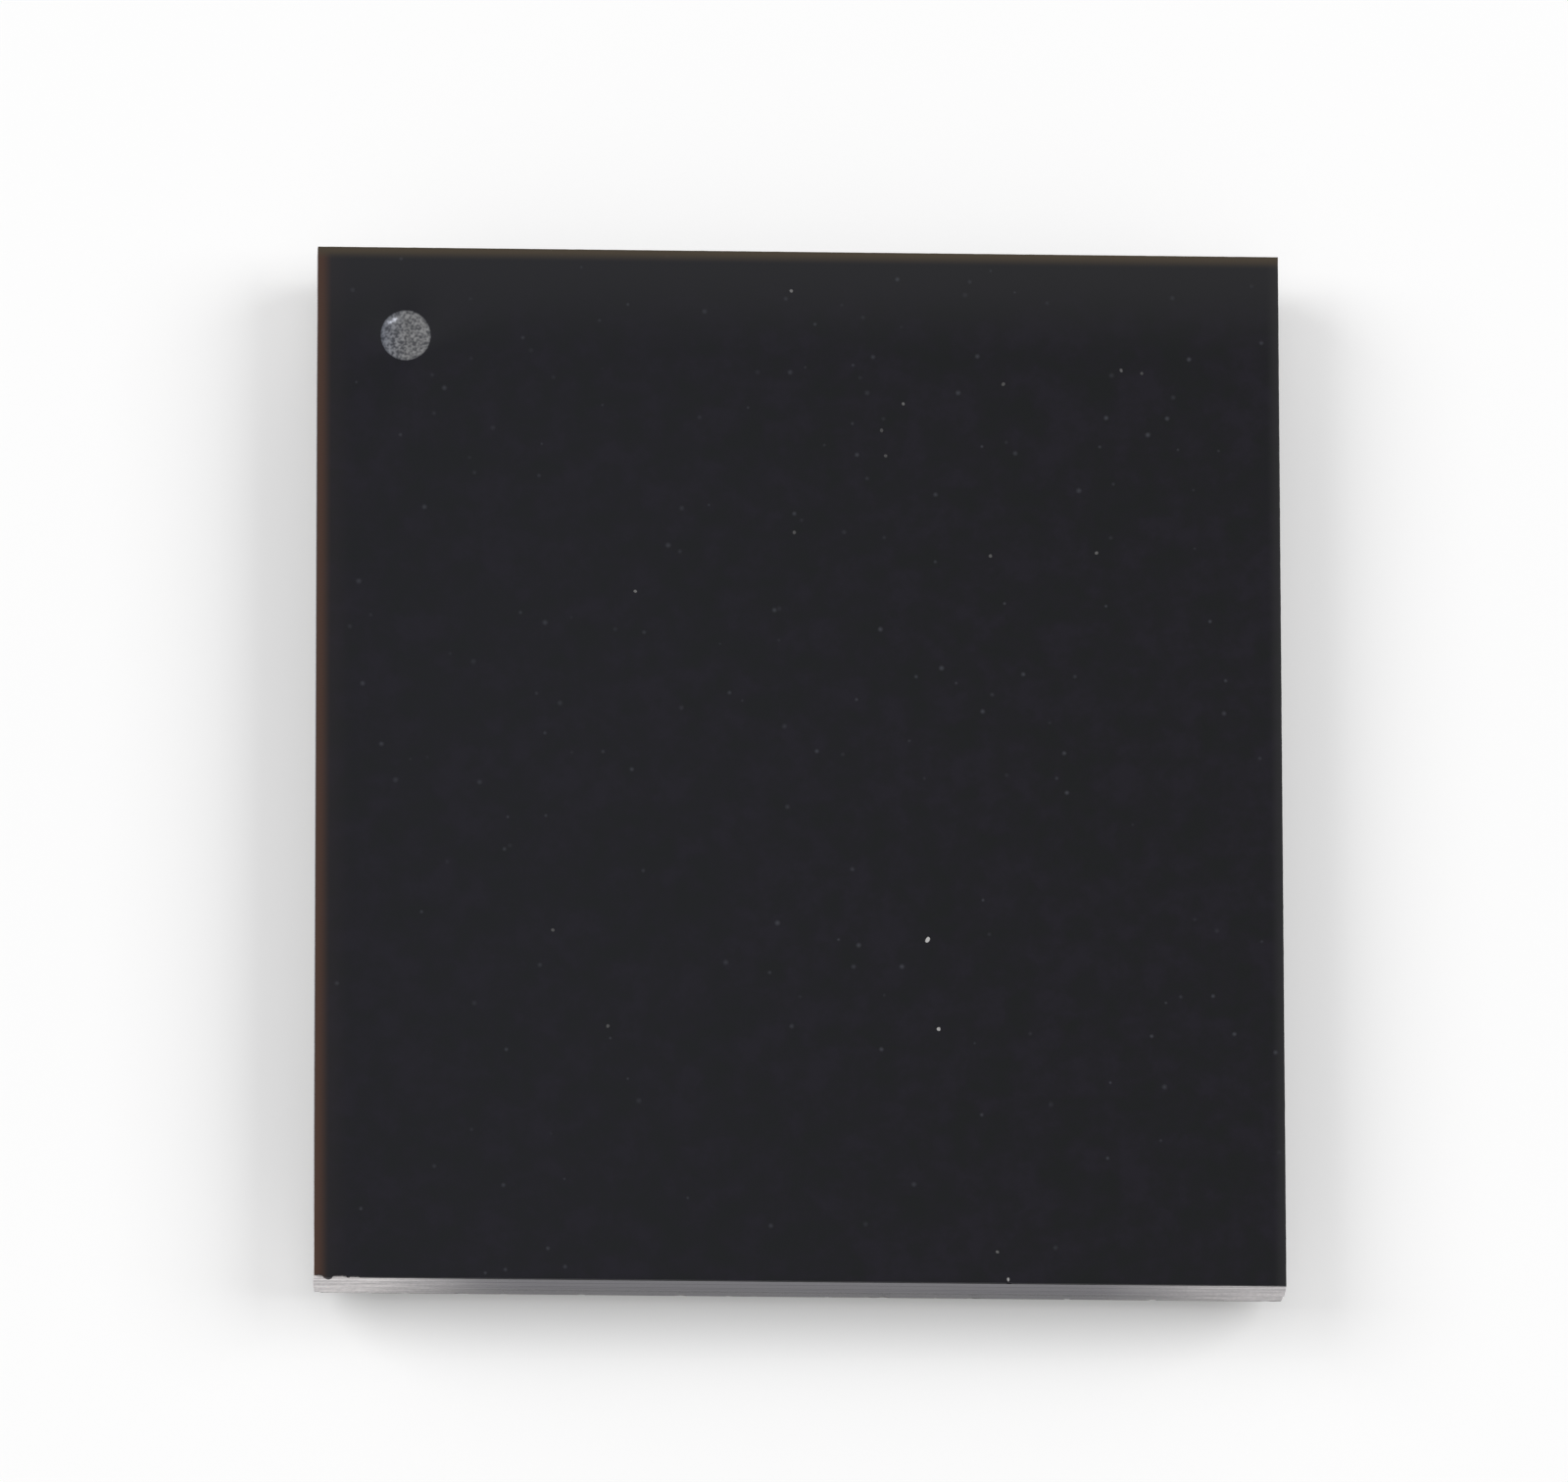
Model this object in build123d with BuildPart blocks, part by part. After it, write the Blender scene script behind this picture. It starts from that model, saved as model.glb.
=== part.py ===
from build123d import *
import math
import os

# A wafer-level chip-scale package that stands on its solder balls.
# The origin is the middle of the balls' seating plane. The marked black face looks to +Z,
# the corner of ball A1 is at -X, +Y, and the front wall of the package looks to -Y.

# Plan of the die, which is the plan of the whole package
body_width = 7.00
body_length = 7.80

# Layers, from the marked face down
coating_thickness = 0.030
silicon_thickness = 0.415
wiring_thickness = 0.010
lower_film_thickness = 0.010
upper_film_thickness = 0.020
copper_thickness = 0.008
pad_thickness = 0.010

# Sawn wall: a wide blade cuts in from the active face, a narrower one goes through
saw_step_height = 0.150
saw_step_inset = 0.009
saw_step_radius = 0.005

# Edge of the coating, thinned towards the saw cut
edge_fade_width = 0.050
edge_fade_drop = 0.004

# Laser dot that marks the corner of ball A1
dot_diameter = 0.380
dot_depth = 0.006
dot_from_side = 0.641
dot_from_back = 0.674

# Chips in the coating's front edge: distance from the left corner, width and depth of each
edge_chips = ((-0.020, 0.090, 0.022), (0.130, 0.110, 0.018), (0.255, 0.075, 0.010), (4.980, 0.040, 0.010))
chip_side_angles = (62, 48)

# Metal frame in the wiring stack
ring_from_edge = 0.022
ring_width = 0.012

# Polymer films, held back from the saw cut
film_setback = 0.045
film_corner = 0.060

# Ball grid
ball_pitch = 0.50
grid_margin = 0.60
ball_diameter = 0.310
ball_height = 0.200
ball_waist = 0.105
ball_foot = 0.150
ball_facets = 8
pad_width = 0.250

# Copper planes, each under a block of balls
plane_columns = 3
plane_rows = 2
plane_gap = 0.120
plane_corner = 0.080

# Heights above the seating plane
film_bottom = ball_height + pad_thickness
copper_top = film_bottom + upper_film_thickness
wiring_bottom = copper_top + lower_film_thickness
silicon_bottom = wiring_bottom + wiring_thickness
silicon_top = silicon_bottom + silicon_thickness
coating_top = silicon_top + coating_thickness

# The ball grid, as many columns and rows as the die has room for
ball_columns = int((body_width - 2 * grid_margin) / ball_pitch) + 1
ball_rows = int((body_length - 2 * grid_margin) / ball_pitch) + 1
first_column = -(ball_columns - 1) / 2 * ball_pitch
first_row = (ball_rows - 1) / 2 * ball_pitch
row_letters = "ABCDEFGHJKLMNPRTUVWY"
row_names = [first + letter for first in ("", "A") for letter in row_letters][:ball_rows]

# Slopes of a ball's sides below and above its waist, and the turn that squares its flats to the grid
foot_taper = math.degrees(math.atan((ball_diameter - ball_foot) / 2 / ball_waist))
shoulder_taper = math.degrees(math.atan((ball_diameter - pad_width) / 2 / (ball_height - ball_waist)))
facet_turn = 180 / ball_facets

# The footprint that the wide blade leaves on the active side
stepped_width = body_width - 2 * saw_step_inset
stepped_length = body_length - 2 * saw_step_inset

os.makedirs("parts", exist_ok=True)


def block_starts(count, block, shift):
    """The first places of the blocks along a line of count places, the first one cut to shift."""
    return sorted({0, *range(shift, count, block)})


def film_sketch(level):
    """The outline that both polymer films are printed to, held back from the saw cut."""
    with BuildSketch(Plane.XY.offset(level)) as film_plan:
        Rectangle(stepped_width - 2 * film_setback, stepped_length - 2 * film_setback)
        chamfer(film_plan.vertices(), length=film_corner)
    return film_plan.sketch


def write(piece, name):
    """Label one piece and write it to its own file."""
    piece.part.label = name
    export_step(piece.part, f"parts/{name}.step")


# Backside coating: a black film, marked with a shallow laser dot, chipped along the front edge
with BuildPart() as backside_coating:
    with BuildSketch(Plane.XY.offset(silicon_top)):
        Rectangle(body_width, body_length)
    extrude(amount=coating_thickness)
    marked_face = backside_coating.faces().sort_by(Axis.Z)[-1]
    chamfer(
        marked_face.edges(), length=edge_fade_width, length2=edge_fade_drop, reference=marked_face
    )
    with BuildSketch(Plane.XY.offset(coating_top)):
        with Locations((dot_from_side - body_width / 2, body_length / 2 - dot_from_back)):
            Circle(dot_diameter / 2)
    extrude(amount=-dot_depth, mode=Mode.SUBTRACT)
    with BuildSketch(Plane.XY.offset(silicon_top)):
        for chip_place, chip_width, chip_depth in edge_chips:
            with Locations((chip_place - body_width / 2, -body_length / 2)):
                Trapezoid(chip_width, chip_depth, *chip_side_angles, align=(Align.MIN, Align.MIN))
    extrude(amount=coating_thickness, mode=Mode.SUBTRACT)
write(backside_coating, "backside_coating")

# Silicon die: full size under the coating, stepped in by the wide blade on the active side
with BuildPart() as silicon_die:
    with BuildSketch(Plane.XY.offset(silicon_bottom)):
        Rectangle(stepped_width, stepped_length)
    extrude(amount=saw_step_height)
    with BuildSketch(Plane.XY.offset(silicon_bottom + saw_step_height)):
        Rectangle(body_width, body_length)
    extrude(amount=silicon_thickness - saw_step_height)
    ledge = silicon_die.faces().filter_by(Plane.XY).sort_by(Axis.Z)[1]
    fillet(ledge.inner_wires()[0].edges(), radius=saw_step_radius)
write(silicon_die, "silicon_die")

# Seal ring: a metal frame through the wiring stack that stops cracks from the saw cut
with BuildSketch(Plane.XY.offset(wiring_bottom)) as ring_plan:
    Rectangle(stepped_width - 2 * ring_from_edge, stepped_length - 2 * ring_from_edge)
    inside_ring = ring_from_edge + ring_width
    Rectangle(
        stepped_width - 2 * inside_ring, stepped_length - 2 * inside_ring, mode=Mode.SUBTRACT
    )
with BuildPart() as seal_ring:
    extrude(ring_plan.sketch, amount=wiring_thickness)
write(seal_ring, "seal_ring")

# Wiring stack: the circuit's metal and oxide layers, as one sheet around and inside the ring
with BuildPart() as wiring_stack:
    with BuildSketch(Plane.XY.offset(wiring_bottom)):
        Rectangle(stepped_width, stepped_length)
    extrude(amount=wiring_thickness)
    extrude(ring_plan.sketch, amount=wiring_thickness, mode=Mode.SUBTRACT)
write(wiring_stack, "wiring_stack")

# Copper planes: each joins a block of balls, and the blocks shift along from one band to the next
with BuildSketch(Plane.XY.offset(copper_top)) as copper_plan:
    for band, top_row in enumerate(range(0, ball_rows, plane_rows)):
        band_rows = min(plane_rows, ball_rows - top_row)
        starts = block_starts(ball_columns, plane_columns, band % plane_columns)
        for start, stop in zip(starts, [*starts[1:], ball_columns]):
            plane_x = first_column + (start + stop - 1) / 2 * ball_pitch
            plane_y = first_row - (top_row + (band_rows - 1) / 2) * ball_pitch
            plane_size = ((stop - start) * ball_pitch - plane_gap, band_rows * ball_pitch - plane_gap)
            with Locations((plane_x, plane_y)):
                Rectangle(*plane_size)
    chamfer(copper_plan.vertices(), length=plane_corner)
with BuildPart() as copper_planes:
    extrude(copper_plan.sketch, amount=-copper_thickness)
write(copper_planes, "copper_planes")

# Lower film: a flat sheet between the wiring stack and the copper
with BuildPart() as lower_film:
    extrude(film_sketch(copper_top), amount=lower_film_thickness)
write(lower_film, "lower_film")

# Upper film: covers the copper and fills the gaps between its planes
with BuildPart() as upper_film:
    extrude(film_sketch(film_bottom), amount=upper_film_thickness)
    add(copper_planes.part, mode=Mode.SUBTRACT)
write(upper_film, "upper_film")

# Ball pads: an eight-sided copper pad under each ball
with BuildPart() as ball_pads:
    with BuildSketch(Plane.XY.offset(ball_height)):
        with GridLocations(ball_pitch, ball_pitch, ball_columns, ball_rows):
            RegularPolygon(pad_width / 2, ball_facets, major_radius=False, rotation=facet_turn)
    extrude(amount=pad_thickness)
write(ball_pads, "ball_pads")

# One solder ball: it widens from its foot to its waist, and narrows to the pad that it wets
with BuildPart() as solder_ball:
    with BuildSketch():
        RegularPolygon(ball_diameter / 2, ball_facets, major_radius=False, rotation=facet_turn)
    extrude(amount=ball_waist)
    lower_flats = solder_ball.faces().filter_by(Axis.Z, reverse=True)
    draft(lower_flats, Plane.XY.offset(ball_waist), -foot_taper)
    with BuildSketch(Plane.XY.offset(ball_waist)):
        RegularPolygon(ball_diameter / 2, ball_facets, major_radius=False, rotation=facet_turn)
    extrude(amount=ball_height - ball_waist, taper=shoulder_taper)

# Solder balls: the same ball along every lettered row of the grid
for row_number, row_name in enumerate(row_names):
    with BuildPart() as ball_row:
        with Locations((0, first_row - row_number * ball_pitch)):
            with GridLocations(ball_pitch, ball_pitch, ball_columns, 1):
                add(solder_ball.part)
    write(ball_row, f"solder_balls_row_{row_name.lower()}")

print("balls", ball_columns, "by", ball_rows, "height", round(coating_top, 3))
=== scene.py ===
import math

import bmesh
import bpy
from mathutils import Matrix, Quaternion, Vector, noise
from mathutils.geometry import delaunay_2d_cdt


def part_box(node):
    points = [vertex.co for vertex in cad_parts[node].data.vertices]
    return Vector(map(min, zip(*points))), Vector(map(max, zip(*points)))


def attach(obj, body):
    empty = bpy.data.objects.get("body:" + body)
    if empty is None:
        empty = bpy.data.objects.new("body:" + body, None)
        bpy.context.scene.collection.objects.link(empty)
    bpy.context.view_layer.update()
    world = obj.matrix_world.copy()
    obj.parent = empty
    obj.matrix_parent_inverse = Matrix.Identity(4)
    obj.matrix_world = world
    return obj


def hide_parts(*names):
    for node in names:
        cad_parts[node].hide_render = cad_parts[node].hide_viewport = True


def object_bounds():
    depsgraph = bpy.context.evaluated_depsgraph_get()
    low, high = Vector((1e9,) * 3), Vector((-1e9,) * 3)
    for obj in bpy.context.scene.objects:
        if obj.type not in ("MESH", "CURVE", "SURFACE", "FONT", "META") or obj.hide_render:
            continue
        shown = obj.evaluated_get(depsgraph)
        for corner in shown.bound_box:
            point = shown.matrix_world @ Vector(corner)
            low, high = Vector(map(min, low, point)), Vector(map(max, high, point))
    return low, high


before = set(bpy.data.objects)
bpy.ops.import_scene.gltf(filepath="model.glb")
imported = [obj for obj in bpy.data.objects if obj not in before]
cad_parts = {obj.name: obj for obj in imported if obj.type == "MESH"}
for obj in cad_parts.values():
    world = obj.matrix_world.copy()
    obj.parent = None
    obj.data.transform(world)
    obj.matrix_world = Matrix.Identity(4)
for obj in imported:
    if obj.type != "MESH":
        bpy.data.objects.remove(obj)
cad_low, cad_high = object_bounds()

# The photograph's view: a long lens looks steeply down on the black face, from the front and a
# little to the left, and the package lies turned a little clockwise in the frame. The focal
# length is in pixels of the photograph.
mm = 0.001
photo_width = 1600
lens_pixels = 25390
view_azimuth = math.radians(-7.645)
view_elevation = math.radians(72.522)
view_roll = math.radians(7.891)
view_distance = 180.12 * mm
aim = Vector((-0.112 * mm, 0.165 * mm, cad_high.z))


def direction(azimuth, elevation):
    """The direction to something at an azimuth, which is 0 at the front, and an elevation."""
    flat = math.cos(elevation)
    return Vector((math.sin(azimuth) * flat, -math.cos(azimuth) * flat, math.sin(elevation)))


def aimed_at(item, target, away, distance):
    """Puts a camera or lamp at a distance from its target and turns it to look there."""
    item.location = target + away * distance
    item.rotation_mode = "QUATERNION"
    item.rotation_quaternion = (-away).to_track_quat("-Z", "Y")
    bpy.context.scene.collection.objects.link(item)


lens = bpy.data.cameras.new("photo_camera")
lens.sensor_width = 36
lens.lens = lens.sensor_width * lens_pixels / photo_width
lens.clip_start = 0.1 * view_distance
lens.clip_end = 10 * view_distance
camera = bpy.data.objects.new("photo_camera", lens)
aimed_at(camera, aim, direction(view_azimuth, view_elevation), view_distance)
camera.rotation_quaternion = camera.rotation_quaternion @ Quaternion((0, 0, 1), view_roll)
bpy.context.scene.camera = camera


# The table is a sheet of matt white card. The camera and mirror-like surfaces see it lifted
# close to full white, and the package's shadow stays on it.
def linear(hex_colour):
    """An sRGB hex colour as the linear RGBA that shaders take."""
    parts = [int(hex_colour[i:i + 2], 16) / 255 for i in (1, 3, 5)]
    return (*[c / 12.92 if c <= 0.04045 else ((c + 0.055) / 1.055) ** 2.4 for c in parts], 1)


def add_node(tree, kind, inputs=None, **settings):
    """Adds a node. An input is a value, a socket, or a node that gives its first output."""
    node = tree.nodes.new(kind)
    for name, value in settings.items():
        setattr(node, name, value)
    for socket, value in (inputs or {}).items():
        if isinstance(value, bpy.types.Node):
            value = value.outputs[0]
        if isinstance(value, bpy.types.NodeSocket):
            tree.links.new(value, node.inputs[socket])
        else:
            node.inputs[socket].default_value = value
    return node


def new_material(name):
    """A named material with an empty node tree."""
    material = bpy.data.materials.new(name)
    material.use_nodes = True
    material.node_tree.nodes.clear()
    return material, material.node_tree


table_size = 2.0
card_colour = "#eeeeee"
card_lift = 0.235
card, tree = new_material("matt_white_card")
rays = add_node(tree, "ShaderNodeLightPath").outputs
mirrored = add_node(
    tree, "ShaderNodeMath", {0: rays["Is Glossy Ray"], 1: rays["Is Transmission Ray"]},
    operation="ADD",
)
seen = add_node(
    tree, "ShaderNodeMath", {0: rays["Is Camera Ray"], 1: mirrored},
    operation="ADD", use_clamp=True,
)
lift = add_node(tree, "ShaderNodeMath", {0: seen, 1: card_lift}, operation="MULTIPLY")
paper = add_node(tree, "ShaderNodeBsdfDiffuse", {"Color": linear(card_colour)})
glow = add_node(tree, "ShaderNodeEmission", {"Color": linear("#ffffff"), "Strength": lift})
both = add_node(tree, "ShaderNodeAddShader", {0: paper, 1: glow})
add_node(tree, "ShaderNodeOutputMaterial", {"Surface": both})
table_mesh = bpy.data.meshes.new("table")
half = table_size / 2
corners = [(-half, -half, 0), (half, -half, 0), (half, half, 0), (-half, half, 0)]
table_mesh.from_pydata(corners, [], [(0, 1, 2, 3)])
table_mesh.materials.append(card)
table = bpy.data.objects.new("table", table_mesh)
bpy.context.scene.collection.objects.link(table)

# Studio light: a plain sky and two large soft boxes at the sides, so that nothing bright
# stands where the flat black face would mirror it to the camera.
sky_strength = 0.38
box_size = 0.30
box_distance = 0.45
box_elevation = math.radians(42)
box_power = 0.85
sky = bpy.data.worlds.new("studio")
sky.use_nodes = True
sky.node_tree.nodes["Background"].inputs["Strength"].default_value = sky_strength
sky.node_tree.nodes["Background"].inputs["Color"].default_value = linear("#ffffff")
bpy.context.scene.world = sky
bpy.context.scene.view_settings.view_transform = "Standard"
for name, azimuth in (("soft_box_left", -108), ("soft_box_right", 100)):
    lamp = bpy.data.lights.new(name, "AREA")
    lamp.size = box_size
    lamp.energy = box_power
    box = bpy.data.objects.new(name, lamp)
    aimed_at(box, aim, direction(math.radians(azimuth), box_elevation), box_distance)

# Silicon die: a slice of a polished wafer with its circuit on the lower face. A wide blade cut
# in from that side and a thinner one went through, which left a narrow ledge, fine lines along
# the walls and a ragged lower edge.
micron = 1e-6
die_low, die_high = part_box("silicon_die")
stack_low, stack_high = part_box("wiring_stack")
die_width = die_high.x - die_low.x
die_length = die_high.y - die_low.y
step_inset = stack_low.x - die_low.x
step_height = 150 * micron
step_radius = 5 * micron
step_bend = 0.3
wall_spacing = 20 * micron
blade_wander = 1.5 * micron
edge_chip_depth = 14 * micron
edge_chip_grain = 90 * micron
edge_chip_rarity = 0.6
ragged_fade = ((0, 1.0), (8 * micron, 0.6), (24 * micron, 0.0))
ledge_grain = 150 * micron
groove_depth = 2 * micron
groove_height = 6 * micron
groove_levels = (200 * micron, 236 * micron, 330 * micron)


def wall_stations(width, length, spacing):
    """Places along a rectangle's walls and at its corners, each as x, y and its way outwards."""
    corners = ((-1, -1), (1, -1), (1, 1), (-1, 1))
    stations = []
    for start, stop in zip(corners, (*corners[1:], corners[0])):
        along_x = start[1] == stop[1]
        steps = round((width if along_x else length) / spacing)
        outward = (0, start[1]) if along_x else (start[0], 0)
        for step in range(steps):
            share = step / steps
            x = (start[0] + (stop[0] - start[0]) * share) * width / 2
            y = (start[1] + (stop[1] - start[1]) * share) * length / 2
            stations.append((x, y, *(outward if step else start)))
    return stations


def lumps(x, y, z, grain):
    """Smooth noise from 0 to 1 with lumps of a grain's size."""
    return 0.5 + 0.5 * noise.noise(Vector((x, y, z)) / grain)


def ragged(x, y):
    """How far the lower edge of the cut is chipped in at a place on the wall."""
    chip = max(0, lumps(x, y, 0, edge_chip_grain) - edge_chip_rarity) / (1 - edge_chip_rarity)
    return edge_chip_depth * chip + blade_wander * lumps(x, y, 0, 5 * edge_chip_grain)


def ring_of(stations, level, inset, border=0):
    """A loop of points round the walls at a level, inside a border, moved in by the inset."""
    shrink_x = 1 - border / max(station[0] for station in stations)
    shrink_y = 1 - border / max(station[1] for station in stations)
    points = []
    for x, y, out_x, out_y in stations:
        depth = inset(x, y)
        points.append((x * shrink_x - out_x * depth, y * shrink_y - out_y * depth, level))
    return points


def flush(x, y):
    """No inset."""
    return 0


def new_piece(name, points, faces, flat_angle=math.radians(30)):
    """A mesh piece at the origin, smooth but for edges sharper than the flat angle."""
    mesh = bpy.data.meshes.new(name)
    mesh.from_pydata(points, [], faces)
    mesh.shade_smooth()
    mesh.set_sharp_from_angle(angle=flat_angle)
    piece = bpy.data.objects.new(name, mesh)
    bpy.context.scene.collection.objects.link(piece)
    return piece


def walls_between(low, high, count):
    """The faces between two loops of as many points, given each loop's first point."""
    turns = [(i, (i + 1) % count) for i in range(count)]
    return [(low + i, low + j, high + j, high + i) for i, j in turns]


stations = wall_stations(die_width, die_length, wall_spacing)
ledge = die_low.z + step_height
levels = [
    (die_low.z + rise, lambda x, y, share=share: step_inset + share * ragged(x, y))
    for rise, share in ragged_fade
]
levels += [
    (ledge - step_radius, lambda x, y: step_inset),
    (ledge - step_bend * step_radius, lambda x, y: step_inset - step_bend * step_radius),
    (ledge, lambda x, y: step_inset - step_radius),
    (ledge, lambda x, y: blade_wander * lumps(x, y, 0, ledge_grain)),
]
for groove_level in groove_levels:
    for shift, depth in ((-0.5, 0), (0, groove_depth), (0.5, 0)):
        level = die_low.z + groove_level + shift * groove_height
        levels.append((level, lambda x, y, depth=depth: depth))
levels.append((die_high.z, flush))
count = len(stations)
points = [point for level, inset in levels for point in ring_of(stations, level, inset)]
faces = [tuple(reversed(range(count)))]
for step in range(len(levels) - 1):
    faces += walls_between(step * count, (step + 1) * count, count)
faces.append(tuple(range(len(points) - count, len(points))))
sawn_die = new_piece("sawn_die", points, faces)

# Sawn silicon: glossy like a dark metal and streaked along the cut. Near the corners, where the
# blade enters and leaves, most of all at the front left, it is frosted rougher, and there its
# colour is painted pale as a painted reflection of the lit table; the front wall gets more of it
# than the others. The streaks and the grit are drawn coarser than the blade leaves them, so that
# they show.
frost_and_reflection_full_to = 0.20 * mm
frost_and_reflection_gone_from = 1.90 * mm
frost_and_reflection_falloff = 2.2
drift_length = 0.4 * mm
drift_patch = 1.1 * mm
front_wall_to = 0.05 * mm
other_walls_from = 0.6 * mm
other_walls_frost_and_reflection = 0.5
left_frost_and_reflection = 1.22
right_frost_and_reflection = 0.74
streak_length = 0.55 * mm
streak_height = 0.035 * mm
streak_depth = 2 * micron
grit_size = 0.030 * mm
grit_depth = 2 * micron
silicon, tree = new_material("sawn_silicon")
place = add_node(tree, "ShaderNodeTexCoord").outputs["Object"]
axes = add_node(tree, "ShaderNodeSeparateXYZ", {"Vector": place}).outputs
away_x = add_node(tree, "ShaderNodeMath", {0: axes["X"]}, operation="ABSOLUTE")
away_y = add_node(tree, "ShaderNodeMath", {0: axes["Y"]}, operation="ABSOLUTE")
away = add_node(tree, "ShaderNodeMath", {0: away_x, 1: away_y}, operation="ADD")
from_corner = add_node(
    tree, "ShaderNodeMath", {0: (die_width + die_length) / 2, 1: away}, operation="SUBTRACT",
)
drift = add_node(
    tree, "ShaderNodeTexNoise", {"Vector": place, "Scale": 1 / drift_patch, "Detail": 2},
)
drifted = add_node(
    tree, "ShaderNodeMath", {0: drift, 1: drift_length, 2: from_corner}, operation="MULTIPLY_ADD",
)
# Frost mask: where the wall is rougher and its colour carries the painted reflection, fullest near
# the corners.
frost = add_node(
    tree, "ShaderNodeMapRange",
    {
        "Value": drifted,
        "From Min": frost_and_reflection_full_to + drift_length / 2,
        "From Max": frost_and_reflection_gone_from + drift_length / 2,
        "To Min": 1.0,
        "To Max": 0.0,
    },
    interpolation_type="SMOOTHSTEP",
)
frost = add_node(tree, "ShaderNodeMath", {0: frost, 1: frost_and_reflection_falloff}, operation="POWER")
# The front wall carries the most painted reflection, the other walls less, and the left end more
# than the right.
front_to_back = add_node(
    tree, "ShaderNodeMapRange",
    {
        "Value": axes["Y"],
        "From Min": die_low.y + front_wall_to, "From Max": die_low.y + other_walls_from,
        "To Min": 1.0, "To Max": other_walls_frost_and_reflection,
    },
)
left_to_right = add_node(
    tree, "ShaderNodeMapRange",
    {
        "Value": axes["X"], "From Min": die_low.x, "From Max": die_high.x,
        "To Min": left_frost_and_reflection, "To Max": right_frost_and_reflection,
    },
)
by_wall = add_node(
    tree, "ShaderNodeMath", {0: front_to_back, 1: left_to_right}, operation="MULTIPLY",
)
frost = add_node(tree, "ShaderNodeMath", {0: frost, 1: by_wall}, operation="MULTIPLY")
along = add_node(
    tree, "ShaderNodeMapping",
    {"Vector": place, "Scale": (1 / streak_length, 1 / streak_length, 1 / streak_height)},
)
streaks = add_node(
    tree, "ShaderNodeTexNoise", {"Vector": along, "Scale": 1, "Detail": 3, "Roughness": 0.6},
)
grit = add_node(
    tree, "ShaderNodeTexNoise", {"Vector": place, "Scale": 1 / grit_size, "Detail": 2},
)
# Painted reflection: the dark silicon is painted near-white where the frost mask is strong.
tone = add_node(
    tree, "ShaderNodeMix", {0: frost, 6: linear("#201f23"), 7: linear("#f5f0ee")},
    data_type="RGBA",
)
streak_shade = add_node(
    tree, "ShaderNodeMapRange",
    {"Value": streaks, "From Min": 0.3, "From Max": 0.7, "To Min": 0.6, "To Max": 1.3},
)
grit_shade = add_node(
    tree, "ShaderNodeMapRange",
    {"Value": grit, "From Min": 0.3, "From Max": 0.7, "To Min": 0.88, "To Max": 1.12},
)
shades = add_node(tree, "ShaderNodeMath", {0: streak_shade, 1: grit_shade}, operation="MULTIPLY")
shaded = add_node(
    tree, "ShaderNodeVectorMath", {0: tone.outputs[2], "Scale": shades}, operation="SCALE",
)
lines = add_node(
    tree, "ShaderNodeBump", {"Strength": 0.35, "Distance": streak_depth, "Height": streaks},
)
grain = add_node(
    tree, "ShaderNodeBump",
    {"Strength": 0.25, "Distance": grit_depth, "Height": grit, "Normal": lines},
)
dullness = add_node(
    tree, "ShaderNodeMapRange", {"Value": frost, "To Min": 0.26, "To Max": 0.5},
)
surface = add_node(
    tree, "ShaderNodeBsdfPrincipled",
    {
        "Base Color": shaded, "IOR": 2.1, "Specular Tint": linear("#ece7f6"),
        "Roughness": dullness, "Normal": grain,
    },
)
add_node(tree, "ShaderNodeOutputMaterial", {"Surface": surface})
sawn_die.data.materials.append(silicon)
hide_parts("silicon_die")
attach(sawn_die, "root")

# Wiring stack: a hundredth of a millimetre of metal and oxide layers, grown on the active face.
# It covers the die to its edge, so the wide blade left it as ragged as the silicon. The seal
# ring that stops cracks runs through it.
ring_low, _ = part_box("seal_ring")
ring_width = 12 * micron
stack_width = stack_high.x - stack_low.x
stack_length = stack_high.y - stack_low.y
ring_outer = ring_low.x - stack_low.x
ring_inner = ring_outer + ring_width
stations = wall_stations(stack_width, stack_length, wall_spacing)
count = len(stations)
frame_loops = (
    (stack_low.z, flush, ring_outer),
    (stack_low.z, ragged, 0),
    (stack_high.z, ragged, 0),
    (stack_high.z, flush, ring_outer),
)
points, faces = [], []
for step, (level, inset, border) in enumerate(frame_loops, start=1):
    points += ring_of(stations, level, inset, border)
    faces += walls_between((step - 1) * count, step % len(frame_loops) * count, count)
start = len(points)
inner_x = -stack_low.x - ring_inner
inner_y = -stack_low.y - ring_inner
for level in (stack_low.z, stack_high.z):
    points += [
        (-inner_x, -inner_y, level), (inner_x, -inner_y, level),
        (inner_x, inner_y, level), (-inner_x, inner_y, level),
    ]
faces += [(start + 3, start + 2, start + 1, start), (start + 4, start + 5, start + 6, start + 7)]
faces += walls_between(start, start + 4, 4)
wiring = new_piece("wiring_layers", points, faces)

# Oxide over fine metal: glassy, with thin-film greens and violets in blocks like a circuit's plan.
block_size = 0.35 * mm
oxide, tree = new_material("oxide_over_fine_wiring")
place = add_node(tree, "ShaderNodeTexCoord").outputs["Object"]
blocks = add_node(
    tree, "ShaderNodeTexVoronoi", {"Vector": place, "Scale": 1 / block_size}, distance="CHEBYCHEV",
)
plan = add_node(tree, "ShaderNodeSeparateColor", {"Color": blocks.outputs["Color"]})
hues = add_node(tree, "ShaderNodeValToRGB", {"Fac": plan})
hues.color_ramp.elements[0].color = linear("#2f3a30")
hues.color_ramp.elements[1].color = linear("#4a3f52")
middle = hues.color_ramp.elements.new(0.5)
middle.color = linear("#54523c")
surface = add_node(
    tree, "ShaderNodeBsdfPrincipled", {"Base Color": hues, "IOR": 1.46, "Roughness": 0.18},
)
add_node(tree, "ShaderNodeOutputMaterial", {"Surface": surface})
wiring.data.materials.append(oxide)
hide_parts("wiring_stack")
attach(wiring, "root")

# Seal ring: aluminium and tungsten walls stacked through the wiring, layer by layer with it, as
# the CAD has it. From below it is a thin bright line just inside the edge.
ring_grain = 0.02 * mm


def dress(node_name, material):
    """Gives a node that is carried over from the CAD its material."""
    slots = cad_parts[node_name].data.materials
    slots.clear()
    slots.append(material)


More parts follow.
